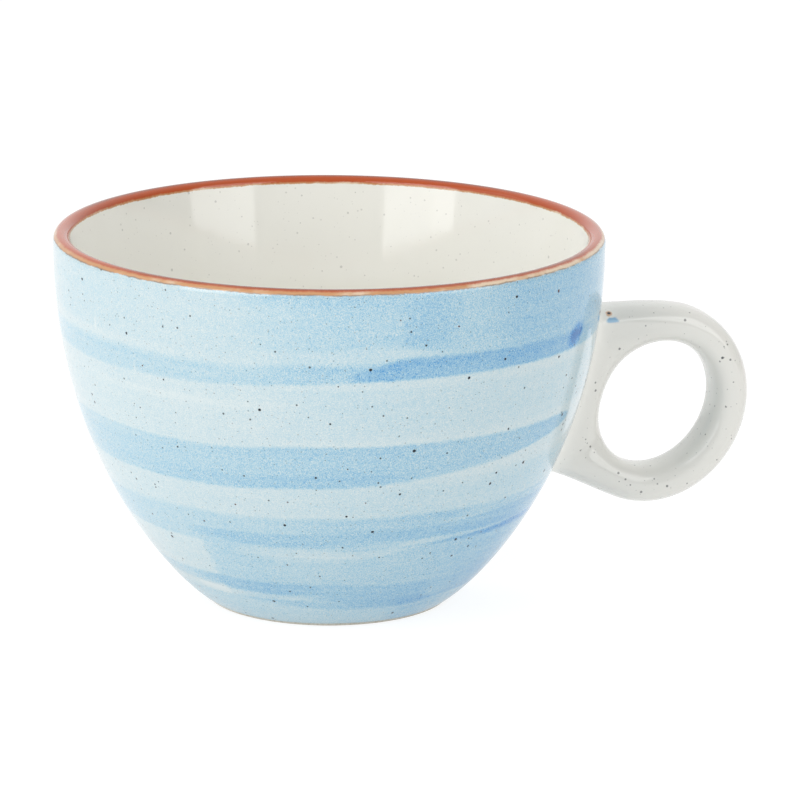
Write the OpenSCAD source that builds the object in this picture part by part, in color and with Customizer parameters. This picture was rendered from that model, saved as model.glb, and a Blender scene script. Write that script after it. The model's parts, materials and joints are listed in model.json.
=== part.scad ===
// Stoneware cappuccino cup with a cast ring handle and fired coats of glaze.
// Millimetres. The axis of the bowl is Z, the table is z = 0 and the handle points along +X.

/* [Bowl] */
// Outer diameter of the rim
rim_diameter = 105; // [92:0.5:118]
// Height from the table to the top of the rim
cup_height = 71.6; // [66:0.1:80]
// Diameter of the ring that the cup stands on
foot_diameter = 45.6; // [38:0.1:54]
// Thickness of the glazed wall at the rim
wall = 3.3; // [2.8:0.1:4.2]
// How much thicker the wall grows below the rim, on the inside
wall_taper = 2; // [1:0.1:2.4]
// Height over which the wall thins to the rim
taper_height = 22; // [18:0.5:30]
// Thickness of the floor at its middle
floor_thickness = 4.6; // [3.6:0.1:5.4]
// Diameter of the level part of the floor inside
floor_diameter = 42; // [36:0.5:46]
// Depth of the recess under the foot
foot_recess = 1.6; // [1.2:0.1:2.4]
// Width of the bare clay ring that touches the table
foot_land = 3.2; // [2.4:0.1:4.2]

/* [Glaze] */
// Thickness of each coat of glaze
glaze = 0.35; // [0.25:0.05:0.5]
// Height at which the outer glaze stops above the table
bare_foot = 0.7; // [0.5:0.1:1.2]
// Depth of the rim band on the outside, below the top
band_outside = 0.9; // [0.6:0.05:1.4]

/* [Handle] */
// Width of the finger hole
hole_width = 22.2; // [20:0.1:25]
// Height of the finger hole
hole_height = 24.8; // [22:0.1:27]
// Distance from the wall to the middle of the finger hole
hole_stand = 17.4; // [16:0.1:20]
// Height of the middle of the finger hole above the table
hole_level = 35; // [33:0.1:38]
// How far the top of the finger hole leans out over its middle
hole_lean = 1.6; // [0:0.1:3]
// Thickness of the ring between the finger hole and its outer edge
ring_thickness = 7.2; // [6:0.1:8.5]
// Width of the ring from side to side
ring_width = 11.4; // [9:0.1:14]
// Height at which the top of the root runs into the wall
root_top = 56; // [54:0.1:58]
// Height at which the bottom of the root runs into the wall
root_bottom = 22.6; // [20:0.1:24]
// How far each side of the root spreads where it meets the wall
root_spread = 1.4; // [0.6:0.1:2.2]

/* [Slip joint] */
// How far the collar of slip stands out of the glaze
slip_rise = 0.9; // [0.5:0.05:1.2]
// How far the collar of slip shows round the root
slip_border = 1.6; // [1:0.1:2]

/* [Hidden] */

rim_radius = rim_diameter / 2;
foot_radius = foot_diameter / 2;
lip_radius = wall / 2;
lip_level = cup_height - lip_radius;
floor_level = foot_recess + floor_thickness;
floor_radius = floor_diameter / 2;
recess_radius = foot_radius - foot_land;
recess_slope = foot_recess / 2;
foot_bevel = foot_land / 8;
cut_overrun = 1;

// The inner wall meets the lip's half-round where both lean alike
lip_turn = atan(2 * wall_taper / taper_height);
inner_top_level = lip_level + lip_radius * sin(lip_turn);
inner_top_radius = rim_radius - lip_radius * (1 + cos(lip_turn));

// The wall swells from foot to rim as a superellipse with these two powers
belly_power = 2.13;
shoulder_power = 1.226;
wall_steps = 40;
lip_steps = 16;
round_steps = 180;

// Angles round the finger hole, from +X over the top, between which the ring turns into the root
top_blend_start = 75;
top_blend_end = 143;
bottom_blend_start = 251;
bottom_blend_end = 203;
seat_depth = wall - 3 * glaze;
ring_stations = 60;
section_points = 20;
section_power = 2.6;
spread_share = 0.75;
pad_points = 40;
pad_power = 4;
slip_layers = 5;

// Share of the rise that a step along the wall reaches, closer together near the foot
function rise_share(s) = s * s;

// Share of the swell from foot to rim at a share of the height
function swell_share(u) = pow(1 - pow(1 - u, belly_power), 1 / shoulder_power);

// Point of the outer surface, for s from 0 at the foot to 1 below the lip
function outer_curve(s) = [
    foot_radius + (rim_radius - foot_radius) * swell_share(rise_share(s)),
    lip_level * rise_share(s)
];

// How much thicker than at the rim the wall is at a height
function taper(height) =
    wall_taper * (1 - pow(1 - min(1, (inner_top_level - height) / taper_height), 2));

// Point of the inner surface, for s from 0 at the floor to 1 at the lip
function inner_curve(s) =
    let (height = floor_level + (inner_top_level - floor_level) * rise_share(s))
    [
        floor_radius + (inner_top_radius - taper(height) - floor_radius) * swell_share(rise_share(s)),
        height
    ];

// Outer radius of the wall at a height
function wall_radius(height) = outer_curve(sqrt(max(0, height) / lip_level))[0];

// Distance from the axis of the bowl to the middle of the finger hole
hole_reach = wall_radius(hole_level) + hole_stand;

function unit(v) = v / norm(v);
function smooth(t) = let (c = max(0, min(1, t))) c * c * (3 - 2 * c);
function power_wave(v, power) = sign(v) * pow(abs(v), 2 / power);

// Unit vector out of the clay at a point of each surface
step_share = 0.5 / wall_steps;
function outer_normal(s) =
    let (run = outer_curve(min(1, s + step_share)) - outer_curve(max(0, s - step_share)))
    s >= 1 ? [1, 0] : unit([run[1], -run[0]]);
function inner_normal(s) =
    let (run = inner_curve(min(1, s + step_share)) - inner_curve(max(0, s - step_share)))
    s >= 1 ? [-cos(lip_turn), sin(lip_turn)] : unit([-run[1], run[0]]);

// Each surface moved into the clay by a depth, as a list of points
function outer_points(depth, from = 0, to = 1) = [
    for (i = [0:wall_steps])
        let (s = from + (to - from) * i / wall_steps)
        outer_curve(s) - depth * outer_normal(s)
];
function inner_points(depth, from = 0, to = 1) = [
    for (i = [0:wall_steps])
        let (s = from + (to - from) * i / wall_steps)
        inner_curve(s) - depth * inner_normal(s)
];
function lip_points(depth, from = 0, to = 180 - lip_turn) = [
    for (i = [0:lip_steps])
        let (a = from + (to - from) * i / lip_steps)
        [rim_radius - lip_radius, lip_level] + (lip_radius - depth) * [cos(a), sin(a)]
];
function reversed(points) = [for (i = [len(points) - 1:-1:0]) points[i]];

// The outer glaze starts where the bare foot ends, and the rim band starts on the lip's arc
bare_share = sqrt(bare_foot / lip_level);
band_start = asin(1 - band_outside / lip_radius);

module turned() {
    rotate_extrude($fn = round_steps) children();
}

// Everything within the outer surface, moved out by a rise
module cup_envelope(rise) {
    turned() polygon(concat(
        [[0, 0]],
        outer_points(-rise),
        [[rim_radius + rise, cup_height + cut_overrun], [0, cup_height + cut_overrun]]
    ));
}

// Point of the finger hole's edge, and the unit vector away from the hole there
function hole_edge(a) = [
    hole_reach + hole_width / 2 * cos(a) + hole_lean * sin(a),
    hole_level + hole_height / 2 * sin(a)
];
function hole_normal(a) = unit([
    hole_height / 2 * cos(a),
    hole_width / 2 * sin(a) - hole_lean * cos(a)
]);

// Share of the root at an angle: none on the grip, whole where the ring runs along the wall
function root_share(a) = a <= 180
    ? smooth((a - top_blend_start) / (top_blend_end - top_blend_start))
    : smooth((a - bottom_blend_start) / (bottom_blend_end - bottom_blend_start));

// Point inside the wall that the root is drawn to
function seat_share(a) = max(0, min(1, (a - top_blend_end) / (bottom_blend_end - top_blend_end)));
function seat_point(a) =
    let (height = root_top + (root_bottom - root_top) * seat_share(a))
    [wall_radius(height) - seat_depth, height];
function ring_edge(a) =
    (1 - root_share(a)) * (hole_edge(a) + ring_thickness * hole_normal(a))
    + root_share(a) * seat_point(a);

// One cross-section of the ring, pulled in by a depth all round
function ring_section(a, depth) =
    let (
        inner = hole_edge(a),
        outer = ring_edge(a),
        inward = depth * unit(outer - inner)
    )
    [
        for (j = [0:section_points - 1])
            let (
                b = 360 * j / section_points,
                across = (1 + power_wave(cos(b), section_power)) / 2,
                side = power_wave(sin(b), section_power),
                spread = root_spread * root_share(a) * pow(min(1, across / spread_share), 3),
                place = (1 - across) * (inner + inward) + across * (outer - inward)
            )
            [place[0], side * (ring_width / 2 - depth + spread), place[1]]
    ];

module ring_form(depth) {
    sections = [for (i = [0:ring_stations - 1]) ring_section(360 * i / ring_stations, depth)];
    faces = [
        for (i = [0:ring_stations - 1], j = [0:section_points - 1])
            let (
                next_i = (i + 1) % ring_stations,
                next_j = (j + 1) % section_points,
                a = i * section_points + j,
                b = i * section_points + next_j,
                c = next_i * section_points + next_j,
                d = next_i * section_points + j
            )
            each [[a, c, b], [a, d, c]]
    ];
    polyhedron([for (section = sections) each section], faces, convexity = 6);
}

// Prism along X whose outline runs round the root at a distance
module root_pad(border) {
    half_width = ring_width / 2 + root_spread + border;
    half_height = (root_top - root_bottom) / 2 + border;
    middle = (root_top + root_bottom) / 2;
    rotate([90, 0, 90])
        linear_extrude(rim_radius + cut_overrun)
            polygon([
                for (i = [0:pad_points - 1])
                    let (a = 360 * i / pad_points)
                    [
                        half_width * power_wave(cos(a), pad_power),
                        middle + half_height * power_wave(sin(a), pad_power)
                    ]
            ]);
}

// Stoneware bowl: floor, foot ring and wall, bare only where it stands
module bowl() {
    color("#cdbfa9")
        turned() polygon(concat(
            [
                [0, foot_recess + glaze],
                [recess_radius - recess_slope, foot_recess + glaze],
                [recess_radius, foot_bevel],
                [recess_radius + foot_bevel, 0]
            ],
            outer_points(0, 0, bare_share),
            outer_points(glaze, bare_share, 1),
            lip_points(glaze),
            reversed(inner_points(glaze)),
            [[0, floor_level - glaze]]
        ));
}

// Blue coat over the outside of the wall, open where the handle is joined
module outer_glaze() {
    color("#a9cde0")
        difference() {
            turned() polygon(concat(
                outer_points(0, bare_share, 1),
                lip_points(0, 0, band_start),
                reversed(lip_points(glaze, 0, band_start)),
                reversed(outer_points(glaze, bare_share, 1))
            ));
            root_pad(slip_border);
        }
}

// Off-white coat over the floor and the inside of the wall
module inner_glaze() {
    color("#e8e4da")
        turned() polygon(concat(
            [[0, floor_level - glaze]],
            inner_points(glaze),
            reversed(inner_points(0)),
            [[0, floor_level]]
        ));
}

// Terracotta band round the lip
module rim_band() {
    color("#b35a35")
        turned() polygon(concat(
            lip_points(0, band_start),
            reversed(lip_points(glaze, band_start))
        ));
}

// Coat inside the recess under the foot
module base_glaze() {
    color("#e8e4da")
        turned() polygon([
            [0, foot_recess],
            [recess_radius - recess_slope - glaze, foot_recess],
            [recess_radius - glaze, foot_bevel],
            [recess_radius, foot_bevel],
            [recess_radius - recess_slope, foot_recess + glaze],
            [0, foot_recess + glaze]
        ]);
}

// Share of the border that a layer of slip covers, so that the layers rise like a fillet
function layer_share(i) = 1 - sqrt(1 - pow(1 - (i - 1) / slip_layers, 2));

// Collar of slip that joins the root to the clay wall, hollow towards its edge
module handle_slip() {
    color("#ddd6c8")
        for (i = [1:slip_layers])
            intersection() {
                turned() polygon(concat(
                    outer_points(-slip_rise * i / slip_layers, bare_share, 1),
                    reversed(outer_points(glaze, bare_share, 1))
                ));
                root_pad(slip_border * layer_share(i));
            }
}

// Cast ring handle, its root cut to the curve of the wall
module handle() {
    color("#d8cfbe")
        difference() {
            ring_form(glaze);
            cup_envelope(slip_rise);
        }
}

// Off-white coat round the handle
module handle_glaze() {
    color("#e4e2da")
        difference() {
            ring_form(0);
            ring_form(glaze);
            cup_envelope(slip_rise);
        }
}

bowl();
outer_glaze();
inner_glaze();
rim_band();
base_glaze();
handle_slip();
handle();
handle_glaze();
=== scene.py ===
# %% [markdown]
# A stoneware cappuccino cup with blue brushed bands.
# The clay, the handle and the coats of glaze already exist as solids. This script loads
# them as a fixed frame and makes the surfaces that the eye meets: smooth coats of glaze
# round the clay, a handle that flows into the wall, and the brushed colours.

# %% Load the frame
import json
import math

import bmesh
import bpy
from mathutils import Matrix, Vector


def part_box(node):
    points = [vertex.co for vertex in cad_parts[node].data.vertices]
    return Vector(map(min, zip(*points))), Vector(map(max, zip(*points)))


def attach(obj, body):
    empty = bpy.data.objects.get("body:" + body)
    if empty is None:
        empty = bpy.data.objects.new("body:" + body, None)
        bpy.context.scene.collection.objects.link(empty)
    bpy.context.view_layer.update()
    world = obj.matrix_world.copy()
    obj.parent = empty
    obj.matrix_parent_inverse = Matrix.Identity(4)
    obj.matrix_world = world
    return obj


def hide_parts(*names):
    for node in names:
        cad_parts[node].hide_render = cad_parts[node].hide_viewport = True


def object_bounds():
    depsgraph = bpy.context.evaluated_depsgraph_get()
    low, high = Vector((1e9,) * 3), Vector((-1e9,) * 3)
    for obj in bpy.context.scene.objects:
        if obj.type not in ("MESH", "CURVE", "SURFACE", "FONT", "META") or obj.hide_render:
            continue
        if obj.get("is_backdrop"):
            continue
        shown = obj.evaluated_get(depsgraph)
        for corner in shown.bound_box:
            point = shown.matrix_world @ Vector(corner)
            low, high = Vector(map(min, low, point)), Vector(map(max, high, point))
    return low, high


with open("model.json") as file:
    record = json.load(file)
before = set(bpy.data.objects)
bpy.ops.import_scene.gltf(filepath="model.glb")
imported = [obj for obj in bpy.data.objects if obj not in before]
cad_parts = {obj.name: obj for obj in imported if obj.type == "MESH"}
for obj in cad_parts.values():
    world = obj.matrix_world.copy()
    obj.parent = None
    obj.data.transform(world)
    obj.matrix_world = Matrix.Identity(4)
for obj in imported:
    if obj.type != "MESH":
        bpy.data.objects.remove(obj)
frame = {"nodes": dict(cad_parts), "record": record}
cad_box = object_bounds()
print("Nodes:", sorted(frame["nodes"]))
print("CAD box:", [round(value, 5) for corner in cad_box for value in corner])

# %% [markdown]
# The sizes. A cup is thrown or pressed as a body of revolution, so a few radii and heights
# say nearly everything. Those that the frame knows are read from it, and the rest are the
# sizes of this cup, in metres.

# %% Sizes of the bowl
MM = 0.001
mounts = {mount["name"]: mount for mount in frame["record"]["mounts"]}
rim_radius = -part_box("outer_glaze")[0].x
cup_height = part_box("rim_band")[1].z
foot_radius = mounts["foot_in_saucer_well"]["dims"]["r_mm"] * MM
recess_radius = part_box("base_glaze")[1].x
recess_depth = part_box("base_glaze")[1].z
bare_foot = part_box("outer_glaze")[0].z
floor_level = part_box("inner_glaze")[0].z
lip_radius = 1.65 * MM
wall_taper = 2 * MM
taper_height = 22 * MM
floor_radius = 21 * MM
coat = 0.35 * MM
band_depth = 0.9 * MM
floor_top = floor_level + coat
lip_level = cup_height - lip_radius
lip_turn = math.atan(2 * wall_taper / taper_height)
inner_top = (
    rim_radius - lip_radius * (1 + math.cos(lip_turn)),
    lip_level + lip_radius * math.sin(lip_turn),
)
print(f"Rim radius {rim_radius:.5f}, height {cup_height:.5f}, foot radius {foot_radius:.5f}")

# %% [markdown]
# The curve of the wall. The outside rises from the foot like part of a superellipse, steep
# and nearly straight at the rim. The inside follows it and thickens from a thin lip to a
# sturdy wall. Each curve is one formula, so any number of points can be taken from it.

# %% Curves of the wall
BELLY_POWER = 2.13
SHOULDER_POWER = 1.226


def swell(share):
    """Share of the way from foot radius to rim radius at a share of the height."""
    return (1 - (1 - min(1, max(0, share))) ** BELLY_POWER) ** (1 / SHOULDER_POWER)


def outer_radius(height):
    return foot_radius + (rim_radius - foot_radius) * swell(height / lip_level)


def inner_radius(height):
    gone = min(1, (inner_top[1] - height) / taper_height)
    top = inner_top[0] - wall_taper * (1 - (1 - gone) ** 2)
    share = (height - floor_top) / (inner_top[1] - floor_top)
    return floor_radius + (top - floor_radius) * swell(share)


def across(curve, height, depth):
    """Point of a wall curve, moved by a depth along its normal, towards the axis."""
    step = 0.05 * MM
    low, high = max(floor_top if curve is inner_radius else 0, height - step), height + step
    slope = (curve(high) - curve(low)) / (high - low)
    length = math.hypot(1, slope)
    return (curve(height) - depth / length, height + depth * slope / length)


def rising(low, high, steps):
    """Heights from low to high, closer together near the low end."""
    return [low + (high - low) * (index / steps) ** 2 for index in range(steps + 1)]


def arc(middle, level, radius, start, end, steps):
    """Points of an arc, in degrees from the outside over the top."""
    angles = [math.radians(start + (end - start) * index / steps) for index in range(steps + 1)]
    return [(middle + radius * math.cos(a), level + radius * math.sin(a)) for a in angles]


def lip_arc(radius, start, end, steps):
    """Arc round the middle of the lip."""
    return arc(rim_radius - lip_radius, lip_level, radius, start, end, steps)


wall = outer_radius(cup_height / 2) - inner_radius(cup_height / 2)
print(f"Wall at half height: {wall / MM:.2f} mm")

# %% [markdown]
# One helper turns an outline round the axis, as the potter's wheel does. A vertex is
# extruded from point to point of the outline, and one full spin makes the form. Faces that
# meet at more than a set angle keep a crisp edge, and all others are shaded smooth.

# %% Helpers that turn and finish a piece
TURN_STEPS = 240
CRISP_ANGLE = math.radians(50)
MERGE_DISTANCE = 0.001 * MM


def finish_piece(bm, name):
    """Makes the mesh a smooth-shaded object in the scene."""
    bmesh.ops.recalc_face_normals(bm, faces=bm.faces[:])
    for face in bm.faces:
        face.smooth = True
    for edge in bm.edges:
        edge.smooth = edge.calc_face_angle(0.0) < CRISP_ANGLE
    mesh = bpy.data.meshes.new(name)
    bm.to_mesh(mesh)
    bm.free()
    piece = bpy.data.objects.new(name, mesh)
    bpy.context.scene.collection.objects.link(piece)
    print(f"{name}: {len(mesh.vertices)} vertices, {len(mesh.polygons)} faces")
    return piece


def spin_whole(bm, axis, steps, merge):
    """Spins everything there is one full turn round an axis and closes the seam."""
    bmesh.ops.spin(
        bm, geom=bm.verts[:] + bm.edges[:], axis=axis, cent=(0, 0, 0),
        angle=math.tau, steps=steps, use_merge=True,
    )
    bmesh.ops.remove_doubles(bm, verts=bm.verts[:], dist=merge)


def turned(outline):
    """Turns an outline of (radius, height) points into a closed form."""
    bm = bmesh.new()
    first = bm.verts.new((outline[0][0], 0, outline[0][1]))
    tip = first
    for radius, height in outline[1:]:
        grown = bmesh.ops.extrude_vert_indiv(bm, verts=[tip])
        tip = grown["verts"][0]
        tip.co = (radius, 0, height)
    if outline[0][0] > 0:
        bm.edges.new((tip, first))
    spin_whole(bm, (0, 0, 1), TURN_STEPS, MERGE_DISTANCE)
    return bm


# %% [markdown]
# The outer coat. Real glaze is a skin of glass a third of a millimetre thick. It is made as
# a closed skin, so that its lower edge above the bare foot is a real edge with a rounded
# end. Glaze creeps before it freezes, so that edge lies about half a millimetre below
# the line to which the glaze was wiped, and wanders a little round the cup.

# %% Outer coat
WALL_STEPS = 72
EDGE_STEPS = 3
GLAZE_CREEP = 0.55 * MM
WANDER = 0.1 * MM
WANDER_REACH = 3 * MM
WAVE_SHARE = 0.45
WAVES = [(3, 1, 0), (7, 0.7, 1), (16, 0.5, 2)]  # how many round the cup, size, start


def rounded_end(outside, inside, steps=5):
    """Half-round of points between the two sides of a coat, bulging away from the coat."""
    middle = (Vector(outside) + Vector(inside)) / 2
    arm = Vector(outside) - middle
    side = Vector((arm.y, -arm.x))
    angles = [math.pi * index / (steps + 1) for index in range(1, steps + 1)]
    return [tuple(middle + arm * math.cos(a) + side * math.sin(a)) for a in angles]


band_angle = math.degrees(math.asin(1 - band_depth / lip_radius))
coat_bottom = bare_foot - GLAZE_CREEP + coat
heights = rising(coat_bottom, lip_level, WALL_STEPS)
outside = [across(outer_radius, height, 0) for height in heights]
inside = [across(outer_radius, height, coat) for height in heights]
outline = outside + lip_arc(lip_radius, 0, band_angle, EDGE_STEPS)[1:]
outline += (inside + lip_arc(lip_radius - coat, 0, band_angle, EDGE_STEPS)[1:])[::-1]
outline += rounded_end(outside[0], inside[0])[::-1]
bm = turned(outline)
for vertex in bm.verts:
    angle = math.atan2(vertex.co.y, vertex.co.x)
    wave = sum(size * math.sin(count * angle + start) for count, size, start in WAVES)
    reach = max(0, 1 - (vertex.co.z - coat_bottom) / WANDER_REACH)
    rise = WANDER * (1 + WAVE_SHARE * wave) * reach
    shift = outer_radius(vertex.co.z + rise) - outer_radius(vertex.co.z)
    radius = math.hypot(vertex.co.x, vertex.co.y)
    vertex.co.x *= 1 + shift / radius
    vertex.co.y *= 1 + shift / radius
    vertex.co.z += rise
blue_coat = finish_piece(bm, "blue_coat")

# %% [markdown]
# The inner coat runs from the middle of the floor to the lip in one closed skin, and the
# coat under the foot fills the recess in the same way. Both start on the axis, where the
# spin would leave a stack of vertices, so doubles are merged into one pole.

# %% Inner coat and the coat under the foot
heights = rising(floor_top, inner_top[1], WALL_STEPS)
visible = [(0, floor_top)] + [across(inner_radius, height, 0) for height in heights]
hidden = [(0, floor_level)] + [across(inner_radius, height, -coat) for height in heights]
inner_coat = finish_piece(turned(visible + hidden[::-1]), "inner_coat")

recess_slope = recess_depth / 2
base_corner = 0.8 * MM
base_round = 0.2 * MM
base_edge = 0.4 * MM
visible = [
    (0, recess_depth - coat),
    (recess_radius - recess_slope - base_corner, recess_depth - coat),
    (recess_radius - recess_slope - coat, recess_depth - coat - base_round),
    (recess_radius - coat, base_edge),
]
hidden = [
    (recess_radius, base_edge),
    (recess_radius - recess_slope, recess_depth),
    (0, recess_depth),
]
base_coat = finish_piece(turned(visible + hidden), "base_coat")

# %% [markdown]
# The rim band is a thin red-brown coat over the rounded lip. It takes the place of the
# other two coats there, edge to edge with them.

# %% Rim band
LIP_STEPS = 28
lip_end = 180 - math.degrees(lip_turn)
outline = lip_arc(lip_radius, band_angle, lip_end, LIP_STEPS)
outline += lip_arc(lip_radius - coat, band_angle, lip_end, LIP_STEPS)[::-1]
rim_coat = finish_piece(turned(outline), "rim_coat")

# %% [markdown]
# The clay shows only as the ring that the cup stands on. A potter wipes that ring with a
# wet sponge before firing, so its edges are soft, and the arcs here do the same.

# %% Clay bowl
SPONGED = 0.35 * MM
FOOT_INSET = 1.1
ARC_STEPS = 5
ring_inside = recess_radius + 2 * SPONGED
ring_outside = outer_radius(SPONGED) - FOOT_INSET * SPONGED
heights = rising(SPONGED, lip_level, WALL_STEPS)
outline = [(0, recess_depth), (recess_radius - recess_slope, recess_depth)]
outline += arc(ring_inside, SPONGED, SPONGED, 180, 270, ARC_STEPS)
outline += arc(ring_outside, SPONGED, SPONGED, 270, 340, ARC_STEPS)
outline += [
    across(outer_radius, height, min(coat, max(0, height - bare_foot + GLAZE_CREEP)))
    for height in heights[2:]
]
outline += lip_arc(lip_radius - coat, 0, lip_end, LIP_STEPS)[1:]
heights = rising(floor_top, inner_top[1], WALL_STEPS)
outline += [across(inner_radius, height, -coat) for height in reversed(heights[:-1])]
outline += [(0, floor_level)]
clay_bowl = finish_piece(turned(outline), "clay_bowl")

# %% [markdown]
# The handle is a cast ring with an oval hole, pressed onto the wall while the clay is
# leather-hard. Its sizes start from the finger that goes through it and from the wall that
# it stands on.

# %% Sizes of the handle
hole = mounts["finger_hole"]
hole_level = hole["pos_m"][2]
hole_stand = 17.4 * MM
hole_reach = outer_radius(hole_level) + hole_stand
hole_width = 2 * hole["dims"]["r_mm"] * MM
hole_height = 24.8 * MM
hole_lean = 1.6 * MM
ring_thickness = 7.2 * MM
ring_width = 11.4 * MM
root_top = 56 * MM
root_bottom = 22.6 * MM
root_spread = 1.4 * MM
seat_depth = 2.25 * MM
SECTION_POWER = 2.6
SPREAD_SHARE = 0.75
TOP_BLEND = (75, 143)
BOTTOM_BLEND = (251, 203)
print(f"Finger hole {hole_width / MM:.1f} by {hole_height / MM:.1f} mm")

# %% [markdown]
# The form of the handle. Any point of it follows from two angles, one round the hole and
# one round the bar. The bar's section is a rounded strap on the free ring. Towards the wall
# its outer side blends into the root, which lies along the wall and spreads a little.

# %% Form of the handle
def smooth_step(share):
    share = min(1, max(0, share))
    return share * share * (3 - 2 * share)


def hole_edge(angle):
    turn = math.radians(angle)
    reach = hole_width / 2 * math.cos(turn) + hole_lean * math.sin(turn)
    return Vector((hole_reach + reach, hole_level + hole_height / 2 * math.sin(turn)))


def hole_normal(angle):
    turn = math.radians(angle)
    rise = hole_width / 2 * math.sin(turn) - hole_lean * math.cos(turn)
    return Vector((hole_height / 2 * math.cos(turn), rise)).normalized()


def root_share(angle):
    """0 on the free ring, 1 where it runs along the wall."""
    start, end = TOP_BLEND if angle <= 180 else BOTTOM_BLEND
    return smooth_step((angle - start) / (end - start))


def seat_point(angle):
    share = (angle - TOP_BLEND[1]) / (BOTTOM_BLEND[1] - TOP_BLEND[1])
    height = root_top + (root_bottom - root_top) * min(1, max(0, share))
    return Vector((outer_radius(height) - seat_depth, height))


def ring_point(angle, turn):
    """Point of the handle at an angle round the hole and an angle round its section."""
    root = root_share(angle)
    inner = hole_edge(angle)
    free = inner + ring_thickness * hole_normal(angle)
    outer = free.lerp(seat_point(angle), root)
    cosine, sine = math.cos(turn), math.sin(turn)
    reach = (abs(cosine) ** SECTION_POWER + abs(sine) ** SECTION_POWER) ** (-1 / SECTION_POWER)
    share = (1 + reach * cosine) / 2
    spread = root_spread * root * min(1, share / SPREAD_SHARE) ** 3
    place = inner.lerp(outer, share)
    return Vector((place.x, reach * sine * (ring_width / 2 + spread), place.y))


print(f"Root from {root_bottom / MM:.1f} to {root_top / MM:.1f} mm up the wall")

# %% [markdown]
# One way to make the handle's surface is to skin a row of cross-sections. Here a round
# section is spun into a plain ring first, which gives an even net of faces, and then every
# vertex of that ring is moved to its place on the real form.

# %% Handle coat
RING_STATIONS = 360
SECTION_STEPS = 112
PLAIN_RING = 2
bm = bmesh.new()
middle = Matrix.Translation((PLAIN_RING, 0, 0))
bmesh.ops.create_circle(bm, segments=SECTION_STEPS, radius=1, matrix=middle)
spin_whole(bm, (0, -1, 0), RING_STATIONS, MM)
for vertex in bm.verts:
    angle = math.degrees(math.atan2(vertex.co.z, vertex.co.x)) % 360
    turn = math.atan2(vertex.co.y, math.hypot(vertex.co.x, vertex.co.z) - PLAIN_RING)
    vertex.co = ring_point(angle, turn)
bmesh.ops.recalc_face_normals(bm, faces=bm.faces[:])
bm.normal_update()
print(f"Plain handle: {len(bm.verts)} vertices")

# %% [markdown]
# Where the handle meets the wall, slip is smoothed into the corner with a finger. That
# fillet is made by moving the handle's surface outwards along the wall, more and more as
# it comes close, along a quarter of a circle. Its radius is small on top and larger at
# the sides and below, as the finger leaves it.

# %% Fillet of the handle
FILLET_SIDE = 2.1 * MM
FILLET_TOP = 1.2 * MM
FILLET_BELOW = 2.6 * MM
FILLET_SINK = 0.12 * MM
FACES_WALL = 1e-4
FULL_PUSH = 0.5


def wall_gap(point):
    """Distance from the glazed wall, and the wall's unit normal there."""
    step = 0.1 * MM
    height = max(step, point.z)
    slope = (outer_radius(height + step) - outer_radius(height - step)) / (2 * step)
    radius = math.hypot(point.x, point.y)
    normal = Vector((point.x / radius, point.y / radius, -slope)).normalized()
    return (radius - outer_radius(height)) / math.hypot(1, slope), normal


moves = {}
for vertex in bm.verts:
    gap, wall_normal = wall_gap(vertex.co)
    along = vertex.normal - vertex.normal.dot(wall_normal) * wall_normal
    if along.length < FACES_WALL:
        continue
    aim = along.normalized()
    vertical = FILLET_TOP if aim.z > 0 else FILLET_BELOW
    fillet = FILLET_SIDE * aim.y**2 + vertical * (1 - aim.y**2)
    near = 1 - max(0, gap + FILLET_SINK) / fillet
    if near <= 0:
        continue
    push = fillet * (1 - math.sqrt(max(0, 1 - near * near)))
    moves[vertex] = aim * push * smooth_step(along.length / FULL_PUSH)
for vertex, move in moves.items():
    vertex.co += move
print(f"Moved {len(moves)} vertices into the fillet")

# %% [markdown]
# Under the top of the root the potter's thumb leaves a shallow hollow on both sides, where
# the round bar of the ring turns in to the thinner web below it.

# %% Thumb hollow
HOLLOW_PLACE = (54.0 * MM, 50.3 * MM)
HOLLOW_REACH = (5.0 * MM, 2.0 * MM)
HOLLOW_DEPTH = 0.3 * MM
for vertex in bm.verts:
    aside = (vertex.co.x - HOLLOW_PLACE[0]) / HOLLOW_REACH[0]
    above = (vertex.co.z - HOLLOW_PLACE[1]) / HOLLOW_REACH[1]
    share = min(1, abs(vertex.co.y) / (ring_width / 2))
    vertex.co.y *= 1 - HOLLOW_DEPTH / (ring_width / 2) * share * math.exp(-aside**2 - above**2)
handle_coat = finish_piece(bm, "handle_coat")

# %% [markdown]
# The colours. Each is written as the eye would pick it on a screen, in sRGB hex, and one
# function turns it into the linear numbers that the shaders use.

# %% Colours
def linear(code):
    """Linear colour of an sRGB hex code."""
    values = [int(code[index:index + 2], 16) / 255 for index in (1, 3, 5)]
    low = [v / 12.92 if v <= 0.04045 else ((v + 0.055) / 1.055) ** 2.4 for v in values]
    return (*low, 1)


COLOURS = {
    "white streak": "#CDD7D8",
    "pale wash": "#BECED2",
    "light band": "#ABC7D2",
    "mid band": "#98BDCF",
    "deep band": "#88B3CC",
    "pooled blue": "#7CABCB",
    "second pool": "#6C9EC5",
    "blot": "#1888CA",
    "blot heart": "#1862A2",
    "off-white": "#EBEBE6",
    "warm shade": "#E7E6DF",
    "off-white in painted low shade": "#E0DFD4",
    "painted handle shade": "#DBDAD4",
    "terracotta": "#B04C20",
    "painted crest shade": "#7A3A1E",
    "tan break": "#C49268",
    "cream break and highlight": "#DCC6AC",
    "edge line": "#8C7866",
    "iron speck": "#20252F",
    "rust speck": "#54393A",
    "clay": "#CFCBC0",
    "dark clay": "#BAB4A8",
}
PAINTS = {name: linear(code) for name, code in COLOURS.items()}
print(f"{len(PAINTS)} colours, terracotta", [round(value, 3) for value in PAINTS["terracotta"]])

# %% [markdown]
# Nodes. A material is a small network, and one function adds any node with its settings
# and links. Sockets are counted from the first or named. Numbers and colours go in as they
# are, and another node, or one of its outputs, becomes a link.

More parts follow.
